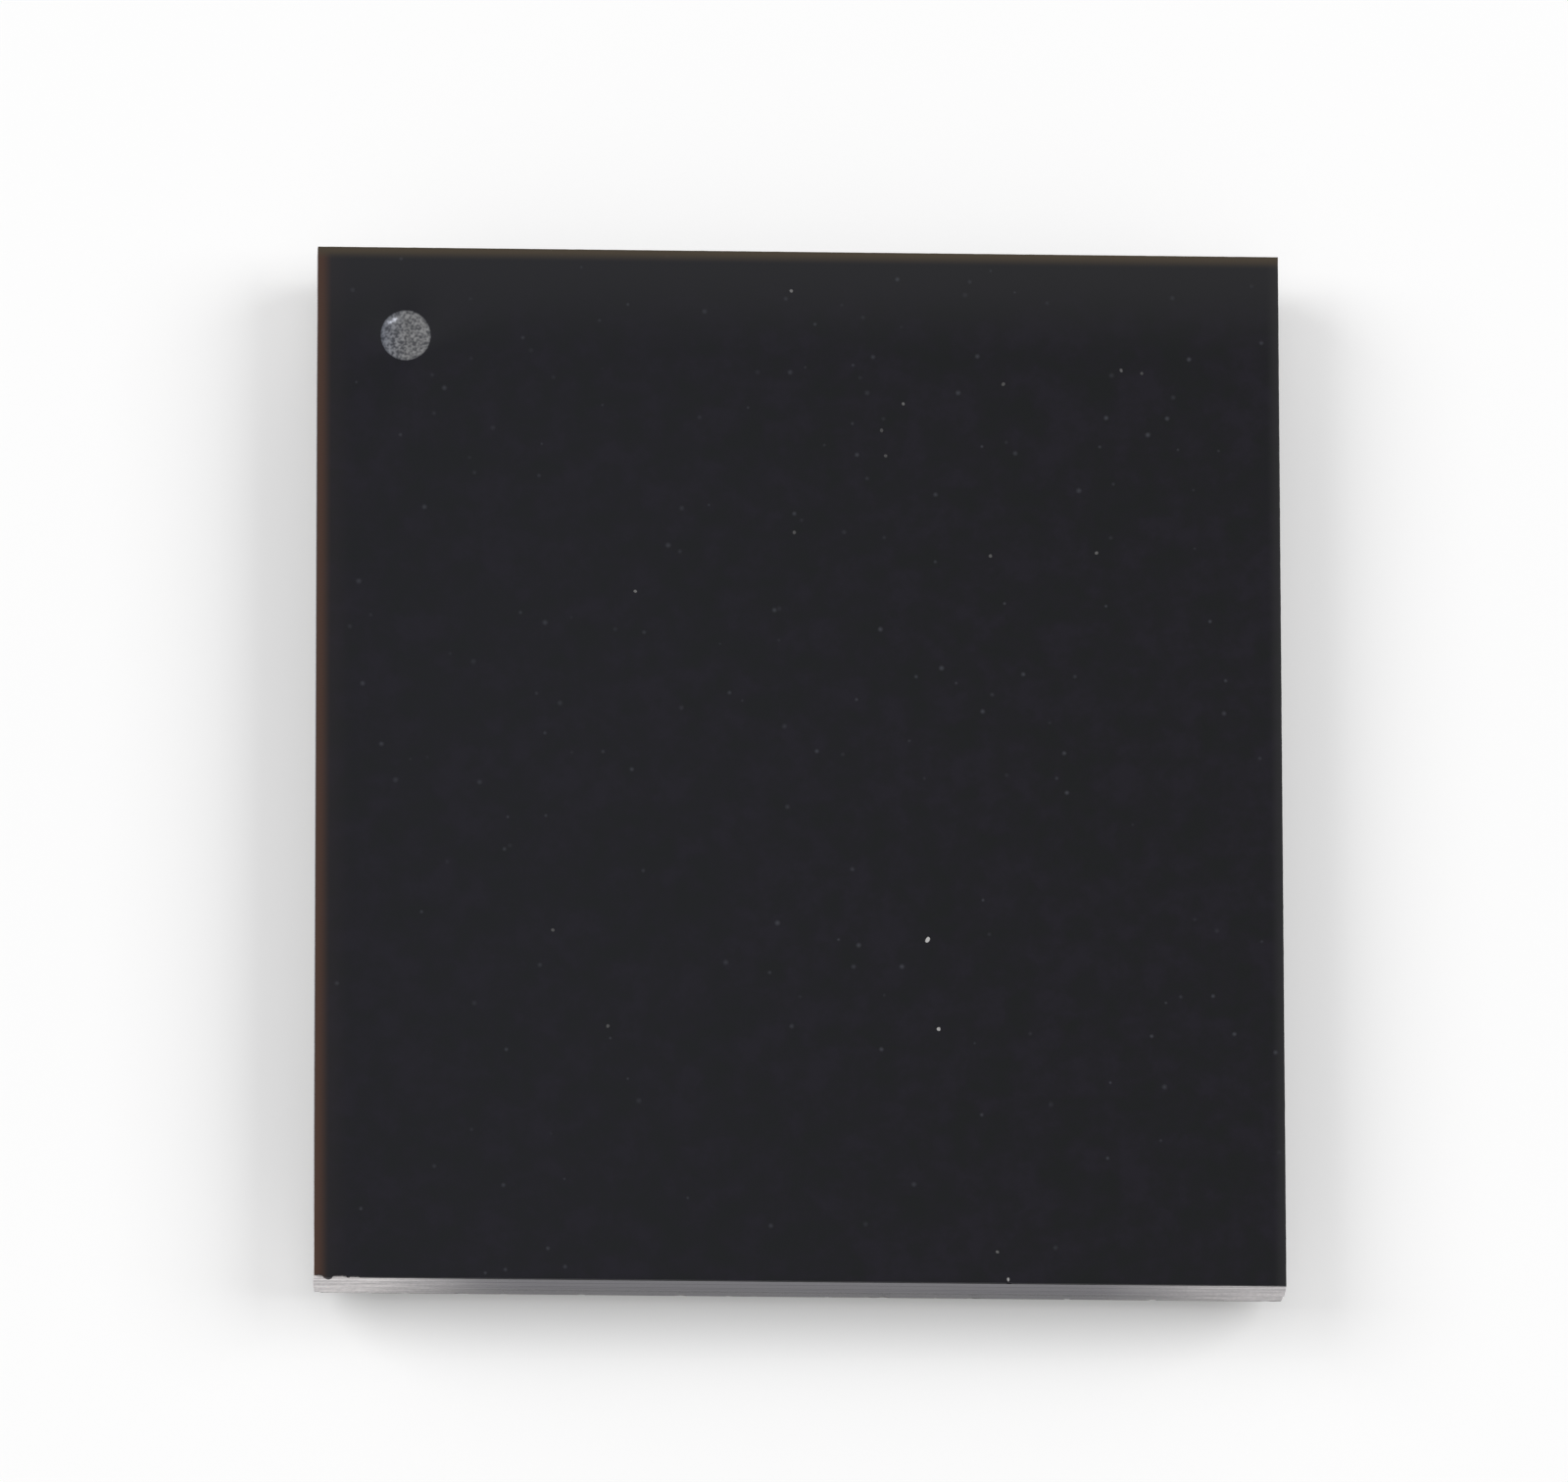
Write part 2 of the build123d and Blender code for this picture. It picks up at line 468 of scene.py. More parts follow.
# Aluminium: silvery white and satin, with patches that are a little duller.
ring_metal, tree = new_material("aluminium_seal_ring")
place = add_node(tree, "ShaderNodeTexCoord").outputs["Object"]
grains = add_node(tree, "ShaderNodeTexNoise", {"Vector": place, "Scale": 1 / ring_grain})
dullness = add_node(tree, "ShaderNodeMapRange", {"Value": grains, "To Min": 0.2, "To Max": 0.4})
surface = add_node(
    tree, "ShaderNodeBsdfPrincipled",
    {"Base Color": linear("#d6d2cc"), "Metallic": 1.0, "Roughness": dullness},
)
add_node(tree, "ShaderNodeOutputMaterial", {"Surface": surface})
dress("seal_ring", ring_metal)

# Lower polymer film: spun over the wiring and cured, a hundredth of a millimetre thick. Its shape
# is the CAD's.
film_mottle = 0.25 * mm

# Cured polymer: a glossy clear amber, which looks dark because silicon lies behind it.
amber_film, tree = new_material("cured_polymer_film")
place = add_node(tree, "ShaderNodeTexCoord").outputs["Object"]
mottle = add_node(
    tree, "ShaderNodeTexNoise", {"Vector": place, "Scale": 1 / film_mottle, "Detail": 3},
)
shade = add_node(
    tree, "ShaderNodeMix", {0: mottle, 6: linear("#3a3222"), 7: linear("#544629")},
    data_type="RGBA",
)
surface = add_node(
    tree, "ShaderNodeBsdfPrincipled",
    {"Base Color": shade.outputs[2], "IOR": 1.6, "Roughness": 0.22},
)
add_node(tree, "ShaderNodeOutputMaterial", {"Surface": surface})
dress("lower_film", amber_film)

# Copper planes: plated a few thousandths of a millimetre thick on the lower film, one under each
# block of balls. The upper film buries them, so only their colour comes through.
copper_grain = 0.012 * mm

# Plated copper: orange pink and satin, as it comes from the plating bath.
copper, tree = new_material("plated_copper")
place = add_node(tree, "ShaderNodeTexCoord").outputs["Object"]
grains = add_node(
    tree, "ShaderNodeTexNoise", {"Vector": place, "Scale": 1 / copper_grain, "Detail": 2},
)
dullness = add_node(tree, "ShaderNodeMapRange", {"Value": grains, "To Min": 0.3, "To Max": 0.5})
surface = add_node(
    tree, "ShaderNodeBsdfPrincipled",
    {"Base Color": linear("#d98f6c"), "Metallic": 1.0, "Roughness": dullness},
)
add_node(tree, "ShaderNodeOutputMaterial", {"Surface": surface})
dress("copper_planes", copper)

# Upper polymer film: coats the copper planes and settles into the gaps between them, so its face
# is embossed with their outlines.
film_low, film_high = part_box("upper_film")
film_corner = 60 * micron
film_edge_slope = 8 * micron
plane_corner = 80 * micron
gap_sink = 1.5 * micron
gap_slope = 9 * micron
same_point = 0.1 * micron


def cut_corner_outline(x_low, y_low, x_high, y_high, corner):
    """A rectangle with its corners cut at 45 degrees, anticlockwise from above."""
    return [
        (x_low + corner, y_low), (x_high - corner, y_low), (x_high, y_low + corner),
        (x_high, y_high - corner), (x_high - corner, y_high), (x_low + corner, y_high),
        (x_low, y_high - corner), (x_low, y_low + corner),
    ]


def islands(mesh):
    """The box in plan of each group of joined points in a mesh, as low x, low y, high x, high y."""
    places, keys = {}, []
    for vertex in mesh.vertices:
        rounded = tuple(round(c / same_point) for c in vertex.co)
        keys.append(places.setdefault(rounded, len(places)))
    group = list(range(len(places)))

    def root(i):
        while group[i] != i:
            i = group[i]
        return i

    for edge in mesh.edges:
        group[root(keys[edge.vertices[0]])] = root(keys[edge.vertices[1]])
    boxes = {}
    for vertex, key in zip(mesh.vertices, keys):
        x, y = vertex.co.x, vertex.co.y
        low_x, low_y, high_x, high_y = boxes.get(root(key), (x, y, x, y))
        boxes[root(key)] = (min(low_x, x), min(low_y, y), max(high_x, x), max(high_y, y))
    return sorted(boxes.values())


outline = cut_corner_outline(
    film_low.x + film_edge_slope, film_low.y + film_edge_slope,
    film_high.x - film_edge_slope, film_high.y - film_edge_slope, film_corner,
)
points = [Vector(point) for point in outline]
loops = [list(range(8))]
heights = [film_low.z + gap_sink] * 8
for x_low, y_low, x_high, y_high in islands(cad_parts["copper_planes"].data):
    for grow, height in ((gap_slope, film_low.z + gap_sink), (0, film_low.z)):
        loops.append(list(range(len(points), len(points) + 8)))
        points += [
            Vector(point) for point in cut_corner_outline(
                x_low - grow, y_low - grow, x_high + grow, y_high + grow, plane_corner,
            )
        ]
        heights += [height] * 8
edges = [(loop[i], loop[(i + 1) % 8]) for loop in loops for i in range(8)]
flat_points, _, flat_faces, origins, _, _ = delaunay_2d_cdt(points, edges, [loops[0]], 1, 1e-9)
film_points = [
    (point.x, point.y, heights[origin[0]]) for point, origin in zip(flat_points, origins)
]
film_faces = [tuple(reversed(face)) for face in flat_faces]
start = len(film_points)
rim = {origin[0]: number for number, origin in enumerate(origins) if origin and origin[0] < 8}
upper_outline = cut_corner_outline(film_low.x, film_low.y, film_high.x, film_high.y, film_corner)
film_points += [(x, y, film_high.z) for x, y in upper_outline]
film_faces += [
    (rim[i], rim[(i + 1) % 8], start + (i + 1) % 8, start + i) for i in range(8)
]
film_faces.append(tuple(range(start, start + 8)))
upper_film = new_piece("embossed_upper_film", film_points, film_faces)
over_copper = upper_film.data.attributes.new("over_copper", "FLOAT", "POINT")
for number, point in enumerate(film_points[:start]):
    over_copper.data[number].value = 1.0 if point[2] < film_low.z + gap_sink / 2 else 0.0

# Polymer over copper: a glossy film with a faint ripple, warm amber where copper lies under it,
# and dark in the gaps, where the blocks of the wiring come through.
copper_mottle = 0.30 * mm
ripple_size = 0.10 * mm
ripple_depth = 1 * micron
film, tree = new_material("polymer_over_copper")
place = add_node(tree, "ShaderNodeTexCoord").outputs["Object"]
under = add_node(tree, "ShaderNodeAttribute", attribute_name="over_copper").outputs["Fac"]
mottle = add_node(
    tree, "ShaderNodeTexNoise", {"Vector": place, "Scale": 1 / copper_mottle, "Detail": 4},
)
ripple = add_node(
    tree, "ShaderNodeTexNoise", {"Vector": place, "Scale": 1 / ripple_size, "Detail": 1},
)
blocks = add_node(
    tree, "ShaderNodeTexVoronoi", {"Vector": place, "Scale": 1 / block_size}, distance="CHEBYCHEV",
)
plan = add_node(tree, "ShaderNodeSeparateColor", {"Color": blocks.outputs["Color"]})
dark = add_node(
    tree, "ShaderNodeMix", {0: plan, 6: linear("#2b2a1c"), 7: linear("#3a3826")},
    data_type="RGBA",
)
warm = add_node(
    tree, "ShaderNodeMix", {0: mottle, 6: linear("#8a5a32"), 7: linear("#a06f40")},
    data_type="RGBA",
)
shade = add_node(
    tree, "ShaderNodeMix", {0: under, 6: dark.outputs[2], 7: warm.outputs[2]}, data_type="RGBA",
)
wave = add_node(
    tree, "ShaderNodeBump", {"Strength": 0.3, "Distance": ripple_depth, "Height": ripple},
)
surface = add_node(
    tree, "ShaderNodeBsdfPrincipled",
    {"Base Color": shade.outputs[2], "IOR": 1.6, "Roughness": 0.2, "Normal": wave},
)
add_node(tree, "ShaderNodeOutputMaterial", {"Surface": surface})
upper_film.data.materials.append(film)
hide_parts("upper_film")
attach(upper_film, "root")

# Ball pads: a round pad of the same copper is plated on the film at every place of the ball grid,
# which is read from the CAD's rows of balls.
pads_low, pads_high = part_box("ball_pads")
row_low, row_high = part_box("solder_balls_row_a")
ball_rows = [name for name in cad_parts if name.startswith("solder_balls_row_")]
ball_width = row_high.y - row_low.y
ball_pitch = 500 * micron
ball_columns = round((row_high.x - row_low.x - ball_width) / ball_pitch) + 1
pad_width = 250 * micron
pad_segments = 24


def repeated_on_grid(name, item, sizes, material, flat_angle):
    """A plain mesh of an item's copies on the ball grid. The item adds its nodes to the tree."""
    group = bpy.data.node_groups.new(name, "GeometryNodeTree")
    group.interface.new_socket("Geometry", in_out="OUTPUT", socket_type="NodeSocketGeometry")
    values = {"Columns": ball_columns, "Rows": len(ball_rows), "Pitch": ball_pitch, **sizes}
    sockets = {}
    for label, value in values.items():
        kind = "NodeSocketInt" if isinstance(value, int) else "NodeSocketFloat"
        sockets[label] = group.interface.new_socket(label, in_out="INPUT", socket_type=kind)
    wet = group.interface.new_socket("Material", in_out="INPUT", socket_type="NodeSocketMaterial")
    given = add_node(group, "NodeGroupInput").outputs
    spans = []
    for label in ("Columns", "Rows"):
        gaps = add_node(group, "ShaderNodeMath", {0: given[label], 1: 1}, operation="SUBTRACT")
        span = add_node(
            group, "ShaderNodeMath", {0: gaps, 1: given["Pitch"]}, operation="MULTIPLY",
        )
        spans.append(span)
    grid = add_node(
        group, "GeometryNodeMeshGrid",
        {
            "Size X": spans[0], "Size Y": spans[1],
            "Vertices X": given["Columns"], "Vertices Y": given["Rows"],
        },
    )
    copies = add_node(
        group, "GeometryNodeInstanceOnPoints", {"Points": grid, "Instance": item(group, given)},
    )
    real = add_node(group, "GeometryNodeRealizeInstances", {"Geometry": copies})
    finished = add_node(
        group, "GeometryNodeSetMaterial", {"Geometry": real, "Material": given["Material"]},
    )
    add_node(group, "NodeGroupOutput", {"Geometry": finished})
    piece = bpy.data.objects.new(name, bpy.data.meshes.new(name))
    bpy.context.scene.collection.objects.link(piece)
    modifier = piece.modifiers.new(name, "NODES")
    modifier.node_group = group
    for label, value in values.items():
        modifier[sockets[label].identifier] = value
    modifier[wet.identifier] = material
    bpy.context.view_layer.update()
    evaluated = piece.evaluated_get(bpy.context.evaluated_depsgraph_get())
    made = bpy.data.meshes.new_from_object(evaluated)
    piece.modifiers.remove(modifier)
    piece.data = made
    made.name = name
    made.shade_smooth()
    made.set_sharp_from_angle(angle=flat_angle)
    return piece


def pad_item(group, given):
    """One round pad between its two faces."""
    disc = add_node(
        group, "GeometryNodeMeshCylinder",
        {"Vertices": pad_segments, "Radius": given["Radius"], "Depth": given["Thickness"]},
    )
    half = add_node(group, "ShaderNodeMath", {0: given["Thickness"], 1: 0.5}, operation="MULTIPLY")
    middle = add_node(group, "ShaderNodeMath", {0: half, 1: given["Level"]}, operation="ADD")
    lift = add_node(group, "ShaderNodeCombineXYZ", {"Z": middle})
    return add_node(group, "GeometryNodeTransform", {"Geometry": disc, "Translation": lift})


pads = repeated_on_grid(
    "round_ball_pads", pad_item,
    {"Radius": pad_width / 2, "Thickness": pads_high.z - pads_low.z, "Level": pads_low.z},
    copper, math.radians(30),
)
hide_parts("ball_pads")
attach(pads, "root")

# Solder balls: a ready-made ball of tin solder is dropped on each pad in flux, and the reflow oven
# wets it to the pad's whole face. It hangs as a flattened ball with its waist below the middle.
ball_waist = 105 * micron
ball_segments = 14
ball_bands = 6
foot_angle = 0.16
pad_angle = math.pi - math.asin(pad_width / ball_width)


def ball_item(group, given):
    """One reflowed ball: a round column whose thickness follows an ellipse from foot to pad."""
    line = add_node(group, "GeometryNodeCurvePrimitiveLine", {"End": (0, 0, 1)})
    column = add_node(group, "GeometryNodeResampleCurve", {"Curve": line, "Count": given["Bands"]})
    number = add_node(group, "GeometryNodeInputIndex")
    last = add_node(group, "ShaderNodeMath", {0: given["Bands"], 1: 1}, operation="SUBTRACT")
    share = add_node(group, "ShaderNodeMath", {0: number, 1: last}, operation="DIVIDE")
    angle = add_node(
        group, "ShaderNodeMapRange",
        {"Value": share, "To Min": given["Foot Angle"], "To Max": given["Pad Angle"]},
    )
    sine = add_node(group, "ShaderNodeMath", {0: angle}, operation="SINE")
    thickness = add_node(
        group, "ShaderNodeMath", {0: sine, 1: given["Radius"]}, operation="MULTIPLY",
    )
    cosine = add_node(group, "ShaderNodeMath", {0: angle}, operation="COSINE")
    above = add_node(group, "ShaderNodeMath", {0: cosine, 1: 0}, operation="LESS_THAN")
    reach = add_node(
        group, "ShaderNodeMix", {0: above, 2: given["Bulge"], 3: given["Shoulder"]},
    )
    drop = add_node(group, "ShaderNodeMath", {0: cosine, 1: reach}, operation="MULTIPLY")
    level = add_node(group, "ShaderNodeMath", {0: given["Waist"], 1: drop}, operation="SUBTRACT")
    place = add_node(group, "ShaderNodeCombineXYZ", {"Z": level})
    placed = add_node(group, "GeometryNodeSetPosition", {"Geometry": column, "Position": place})
    hoop = add_node(
        group, "GeometryNodeCurvePrimitiveCircle", {"Resolution": given["Segments"], "Radius": 1},
    )
    return add_node(
        group, "GeometryNodeCurveToMesh",
        {"Curve": placed, "Profile Curve": hoop, "Scale": thickness, "Fill Caps": True},
    )


# Tin, silver and copper solder: a soft satin silver, slightly frosted by the crystals that form
# as it freezes.
crystal_size = 0.045 * mm
crystal_depth = 3 * micron
solder, tree = new_material("reflowed_tin_solder")
place = add_node(tree, "ShaderNodeTexCoord").outputs["Object"]
crystals = add_node(
    tree, "ShaderNodeTexVoronoi", {"Vector": place, "Scale": 1 / crystal_size}, feature="SMOOTH_F1",
)
frosting = add_node(
    tree, "ShaderNodeTexNoise", {"Vector": place, "Scale": 1 / (0.4 * crystal_size), "Detail": 3},
)
dullness = add_node(
    tree, "ShaderNodeMapRange", {"Value": frosting, "To Min": 0.24, "To Max": 0.44},
)
shade = add_node(
    tree, "ShaderNodeMix", {0: frosting, 6: linear("#b9b7b2"), 7: linear("#d6d4cf")},
    data_type="RGBA",
)
facets = add_node(
    tree, "ShaderNodeBump", {"Strength": 0.25, "Distance": crystal_depth, "Height": crystals},
)
surface = add_node(
    tree, "ShaderNodeBsdfPrincipled",
    {"Base Color": shade.outputs[2], "Metallic": 1.0, "Roughness": dullness, "Normal": facets},
)
add_node(tree, "ShaderNodeOutputMaterial", {"Surface": surface})
balls = repeated_on_grid(
    "solder_balls", ball_item,
    {
        "Radius": ball_width / 2, "Waist": ball_waist,
        "Bulge": ball_waist / math.cos(foot_angle),
        "Shoulder": (pads_low.z - ball_waist) / -math.cos(pad_angle),
        "Foot Angle": foot_angle, "Pad Angle": pad_angle,
        "Segments": ball_segments, "Bands": ball_bands + 1,
    },
    solder, math.radians(50),
)
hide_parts(*ball_rows)
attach(balls, "root")

# Backside coating: an epoxy film laminated on the thinned wafer and cut with it. It thins
# towards the saw cut, and its front edge is chipped near the left corner. Each chip has its place
# from that corner, its width and its depth, in thousandths of a millimetre.
film_bottom, film_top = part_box("backside_coating")
rim_width = 50 * micron
rim_drop = 4 * micron
rim_steps = ((0.0, 1.0), (0.15, 0.62), (0.4, 0.25), (0.7, 0.06), (1.0, 0.0))
cut_wander = 2.5 * micron
cut_grain = 60 * micron
chips = ((-20, 90, 22), (130, 110, 18), (255, 75, 10), (4980, 40, 10))
chip_margin = 20
chip_roughness = 0.6
rough_grain = 22 * micron
burr_place = 104 * micron
burr_width = 26 * micron
burr_reach = 9 * micron
burr_drop = 26 * micron
fine_spacing = 5 * micron
coarse_spacing = 50 * micron


def cut_line(x, y):
    """How far in the saw cut wanders at a place on the wall."""
    return cut_wander * lumps(x, y, 0, cut_grain)


def chip_depth(x, y):
    """How far the film's edge is cut back or flaked off at a place on the front wall."""
    depth = cut_line(x, y)
    along_edge = (x - film_bottom.x) / micron
    for chip_place, chip_width, chip_deep in chips:
        inside = min(along_edge - chip_place, chip_place + chip_width - along_edge)
        if inside > 0:
            ramp = min(1, inside / (0.5 * chip_deep))
            rough = 0.7 + chip_roughness * (lumps(x, y, 0, rough_grain) - 0.5)
            depth = max(depth, chip_deep * micron * ramp * rough)
    return depth


def burr(x, y):
    """How much of the burr stands at a place on the wall, from 0 to 1."""
    if y > film_bottom.y / 2:
        return 0
    return math.exp(-(((x - film_bottom.x - burr_place) / burr_width) ** 2))


def edge_loop(level, border, depth_share, hang=0):
    """One loop of the film's edge, with its chips, inside a border, its burr hung down."""
    loop = []
    for x, y, out_x, out_y in stations:
        wander = cut_line(x, y)
        deep = chip_depth(x, y) - burr_reach * burr(x, y) if out_y < 0 else wander
        edge_x = x * (1 - border / film_top.x) - out_x * wander
        edge_y = y * (1 - border / film_top.y) - out_y * deep * depth_share
        loop.append((edge_x, edge_y, level - hang * burr(x, y)))
    return loop


def near_chip(x):
    """Whether a place on the front wall lies at a chip or close beside one."""
    along_edge = (x - film_bottom.x) / micron
    return any(
        chip_place - chip_margin <= along_edge <= chip_place + chip_width + chip_margin
        for chip_place, chip_width, _ in chips
    )


coarse = wall_stations(die_width, die_length, coarse_spacing)
fine = wall_stations(die_width, die_length, fine_spacing)
near_chips = [s for s in fine if s[1] == film_bottom.y and near_chip(s[0])]
front = sorted({s for s in coarse if s[1] == film_bottom.y and s[3]} | set(near_chips))
stations = front + [s for s in coarse if s[1] != film_bottom.y]
count = len(stations)

# Laser dot: a beam burned a shallow round recess into the film and foamed its floor, in crumbs
# and loose clumps that get denser towards the rim, with one bright dash at the upper left.
dot_x = film_bottom.x + 641 * micron
dot_y = film_top.y - 674 * micron
dot_radius = 190 * micron
dot_stretch = (0.98, 1.03)
dot_depth = 6 * micron
dot_slope = 6 * micron
dot_wobble = 3 * micron
dot_lobes = 9
dot_spacing = 6 * micron
dot_segments = 160
clump_size = 34 * micron
clump_weight = 0.7
crumb_size = 15 * micron
crumb_weight = 1.1
foam_start = 0.66
rim_foam = 0.16
rim_fade = 0.10
least_foam = 0.04
full_foam = 0.6
foam_rise = 5 * micron
dash_foam = 0.45
dash_place = (-92 * micron, 110 * micron)
dash_turn = math.radians(24)
dash_size = (135 * micron, 50 * micron)


def from_dot(x, y):
    """How far out a place on the face lies, as a share of the dot's radius."""
    return math.hypot((x - dot_x) / dot_stretch[0], (y - dot_y) / dot_stretch[1]) / dot_radius


def frosting_at(x, y):
    """How pale the foam on the dot's floor is at a place, from 0 to 1."""
    clumps = lumps(x, y, 1 * mm, clump_size)
    crumbs = lumps(x, y, 2 * mm, crumb_size)
    across, up = x - dot_x - dash_place[0], y - dot_y - dash_place[1]
    along = (across * math.cos(dash_turn) + up * math.sin(dash_turn)) / dash_size[0]
    aside = (up * math.cos(dash_turn) - across * math.sin(dash_turn)) / dash_size[1]
    dash = min(1, (dash_foam + crumbs) * math.exp(-(2 * along) ** 2 - (2 * aside) ** 2))
    out = from_dot(x, y)
    foam = clump_weight * clumps + crumb_weight * crumbs - foam_start + rim_foam * out ** 2
    fade = min(1, (1 - out) / rim_fade)
    return max(least_foam, min(full_foam, foam) * fade, dash)


top_points = []
for share, drop in rim_steps:
    level = film_top.z - drop * rim_drop
    top_points += edge_loop(level, share * rim_width, 1)
rim_count = len(top_points)
inner_start = rim_count - count
flat = [Vector(point[:2]) for point in top_points[inner_start:]]
levels = [film_top.z] * count
frosts = [0.0] * count
loops = [list(range(count))]
for side, level in ((1, film_top.z), (-1, film_top.z - dot_depth / 2)):
    loops.append(list(range(len(flat), len(flat) + dot_segments)))
    for step in range(dot_segments):
        turn = 2 * math.pi * step / dot_segments
        round_x, round_y = math.cos(turn), math.sin(turn)
        wobble = dot_wobble * noise.noise(dot_lobes * Vector((round_x, round_y, 0)))
        radius = dot_radius + side * dot_slope / 2 + wobble
        x = dot_x + radius * round_x * dot_stretch[0]
        y = dot_y + radius * round_y * dot_stretch[1]
        flat.append(Vector((x, y)))
        levels.append(level)
        frosts.append(0.0)
reach = int(max(dot_stretch) * dot_radius / dot_spacing)
for i in range(-reach, reach + 1):
    for j in range(-reach, reach + 1):
        x, y = dot_x + (i + j % 2 / 2) * dot_spacing, dot_y + j * dot_spacing
        if from_dot(x, y) < 1 - 1.4 * dot_slope / dot_radius:
            value = frosting_at(x, y)
            flat.append(Vector((x, y)))
            levels.append(film_top.z - dot_depth + foam_rise * value)
            frosts.append(value)
edges = [(loop[i], loop[(i + 1) % len(loop)]) for loop in loops for i in range(len(loop))]
flat_points, _, flat_faces, origins, _, _ = delaunay_2d_cdt(flat, edges, [loops[0]], 1, 1e-9)
number_of = {}
points = list(top_points)
point_frost = [0.0] * rim_count
for index, (point, origin) in enumerate(zip(flat_points, origins)):
    source = origin[0] if origin else None
    if source is not None and source < count:
        number_of[index] = inner_start + source
    else:
        number_of[index] = len(points)
        points.append((point.x, point.y, levels[source]))
        point_frost.append(frosts[source])
faces = [tuple(number_of[i] for i in face) for face in flat_faces]
for step in range(len(rim_steps) - 1):
    faces += walls_between(step * count, (step + 1) * count, count)
wall_start = len(points)
points += edge_loop(film_bottom.z, 0, 1, burr_drop)
under_start = len(points)
points += edge_loop(film_bottom.z, rim_width, 0)
faces += walls_between(wall_start, 0, count)
faces += walls_between(under_start, wall_start, count)
faces.append(tuple(reversed(range(under_start, under_start + count))))
point_frost += [0.0] * (len(points) - len(point_frost))
coating = new_piece("backside_film", points, faces)
frost_attribute = coating.data.attributes.new("laser_frost", "FLOAT", "POINT")
frost_attribute.data.foreach_set("value", point_frost)

# Black filled epoxy: matt and nearly black, a little brown where it thins at the left and back
# edges, and foamed to a pale grey where the laser marked it. A painted glare lightens it towards
# the back edge and in a strip along the left edge, and a painted cool sheen lightens it towards the
# left. Its filler pebbles it and shows as faint specks, both drawn coarser than they are, so that
# they show.
pebble_size = 0.018 * mm
pebble_depth = 2 * micron
cloud_size = 0.20 * mm
glare_from = 0.85 * mm
glare_to = 0.05 * mm
speck_spacing = 0.15 * mm
speck_radii = (12 * micron, 26 * micron)
speck_warp = 6 * micron
fewest_specks = 0.96
most_specks = 0.86
edge_plateau = 0.15
edge_tones = (  # axis, edge, how far in from it (mm), strength, colour
    # Painted cool sheen: the face is painted lighter and cooler towards the left.
    ("X", film_bottom.x, 6.0, 0.25, "#1b1c24"),  # broad cool sheen from the left
    ("X", film_top.x, -0.10, 0.5, "#2c2c2d"),
    # Painted glare: a lighter strip along the left edge.
    ("X", film_bottom.x, 0.28, 0.25, "#312a2b"),
    ("X", film_bottom.x, 0.11, 0.9, "#4a3328"),  # brown where the film is thinnest
    ("Y", film_top.y, -0.10, 1.0, "#473e32"),
)
epoxy, tree = new_material("black_filled_epoxy")
place = add_node(tree, "ShaderNodeTexCoord").outputs["Object"]
axes = add_node(tree, "ShaderNodeSeparateXYZ", {"Vector": place}).outputs
pebbles = add_node(
    tree, "ShaderNodeTexNoise", {"Vector": place, "Scale": 1 / pebble_size, "Detail": 2},
)
clouds = add_node(
    tree, "ShaderNodeTexNoise",
    {"Vector": place, "Scale": 1 / cloud_size, "Detail": 4, "Roughness": 0.6},
)
tints = add_node(tree, "ShaderNodeValToRGB", {"Fac": clouds})
tints.color_ramp.elements[0].position = 0.35
tints.color_ramp.elements[0].color = linear("#090c0f")
tints.color_ramp.elements[1].position = 0.65
tints.color_ramp.elements[1].color = linear("#13101b")
bluish = tints.color_ramp.elements.new(0.5)
bluish.color = linear("#0d0c14")
# Painted glare: the face is painted a lighter grey towards the back edge.
painted_glare = add_node(
    tree, "ShaderNodeMapRange",
    {
        "Value": axes["Y"],
        "From Min": film_top.y - glare_from, "From Max": film_top.y - glare_to,
        "To Min": 0.0, "To Max": 1.0,
    },
    interpolation_type="SMOOTHSTEP",
)
body = add_node(
    tree, "ShaderNodeMix", {0: painted_glare, 6: tints, 7: linear("#202023")}, data_type="RGBA",
)
warped = add_node(
    tree, "ShaderNodeMix", {0: speck_warp, 4: place, 5: pebbles.outputs["Color"]},
    data_type="VECTOR", clamp_factor=False,
)
cells = add_node(
    tree, "ShaderNodeTexVoronoi", {"Vector": warped.outputs[1], "Scale": 1 / speck_spacing},
    voronoi_dimensions="2D",
)
lot = add_node(tree, "ShaderNodeSeparateColor", {"Color": cells.outputs["Color"]}).outputs
limit = add_node(
    tree, "ShaderNodeMapRange",
    {
        "Value": axes["Y"], "From Min": film_bottom.y, "From Max": film_top.y,
        "To Min": fewest_specks, "To Max": most_specks,
    },
)
drawn = add_node(tree, "ShaderNodeMath", {0: lot["Blue"], 1: limit}, operation="GREATER_THAN")
radius = add_node(
    tree, "ShaderNodeMapRange",
    {
        "Value": lot["Green"],
        "To Min": speck_radii[0] / speck_spacing, "To Max": speck_radii[1] / speck_spacing,
    },
)
near = add_node(
    tree, "ShaderNodeMapRange",
    {
        "Value": cells.outputs["Distance"], "From Min": 0.0, "From Max": radius,
        "To Min": 1.0, "To Max": 0.0,
    },
)
specks = add_node(tree, "ShaderNodeMath", {0: near, 1: drawn}, operation="MULTIPLY")
shine = add_node(tree, "ShaderNodeMapRange", {"Value": lot["Red"], "To Min": 0.15, "To Max": 0.55})
pale = add_node(tree, "ShaderNodeMath", {0: specks, 1: shine}, operation="MULTIPLY")
body = add_node(
    tree, "ShaderNodeMix", {0: pale, 6: body.outputs[2], 7: linear("#52545c")}, data_type="RGBA",
)
edged = body
